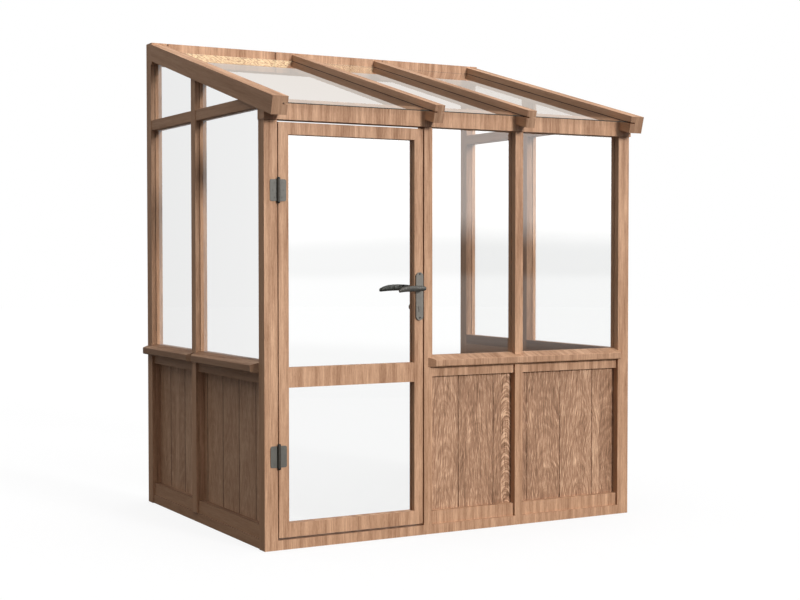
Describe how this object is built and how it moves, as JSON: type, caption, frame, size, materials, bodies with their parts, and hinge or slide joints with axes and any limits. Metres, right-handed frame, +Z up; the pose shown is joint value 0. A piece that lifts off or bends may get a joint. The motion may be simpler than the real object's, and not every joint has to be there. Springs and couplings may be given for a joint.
{
  "type": "lean-to greenhouse",
  "caption": "Timber lean-to greenhouse with an open back, a sloping glazed roof between rafters, boarded lower walls, sills and a hinged glazed door with a lever lock.",
  "frame": {"origin": "middle of the footprint of the whole outline, on the ground", "axes": "+Z up, -Y out of the front with the door, +X to the right seen from the front, +Y towards the wall it leans on"},
  "size_m": [2.056, 1.624, 2.4102],
  "materials": {
    "timber": "oiled, open grain",
    "boards": "oiled, open grain",
    "glass": "clear float glass",
    "steel": "satin grey",
    "dark_steel": "dark satin"
  },
  "bodies": {
    "frame": {"base_front": "timber", "base_left": "timber", "base_right": "timber", "post_front_left": "timber", "post_door": "timber", "post_window": "timber", "post_front_right": "timber", "post_left_middle": "timber", "post_left_back": "timber", "post_right_middle": "timber", "post_right_back": "timber", "transom_left": "timber", "transom_right": "timber", "rafter_left": "timber", "rafter_second": "timber", "rafter_third": "timber", "rafter_right": "timber", "header_beam": "timber", "wall_plate": "timber", "sill_front": "timber", "sill_left": "timber", "sill_right": "timber", "rails_front": "timber", "rails_left": "timber", "rails_right": "timber", "panels_front": "boards", "panels_left": "boards", "panels_right": "boards", "roof_glass_first": "glass", "roof_glass_second": "glass", "roof_glass_third": "glass", "window_glass": "glass", "side_glass_left": "glass", "side_glass_right": "glass", "hinge_leaves_post": "steel", "hinge_pins": "dark_steel"},
    "door": {"door_stiles": "timber", "door_rails": "timber", "door_glass": "glass", "hinge_leaves_door": "steel", "lock_plate_outside": "steel", "lock_plate_inside": "steel", "key_cylinder": "steel"},
    "handle": {"lever_outside": "steel", "lever_inside": "steel"}
  },
  "joints": [
    {"name": "door_swing", "type": "hinge", "parent": "frame", "child": "door", "pos_m": [-0.933, -0.71, 0.9685], "axis": [0, 0, -1], "range_deg": [0, 170]},
    {"name": "handle_turn", "type": "hinge", "parent": "door", "child": "handle", "pos_m": [-0.219, -0.6795, 1.15], "axis": [0, -1, 0], "range_deg": [0, 40], "stiffness_Nm_per_rad": 2, "springref_deg": -28.65}
  ]
}
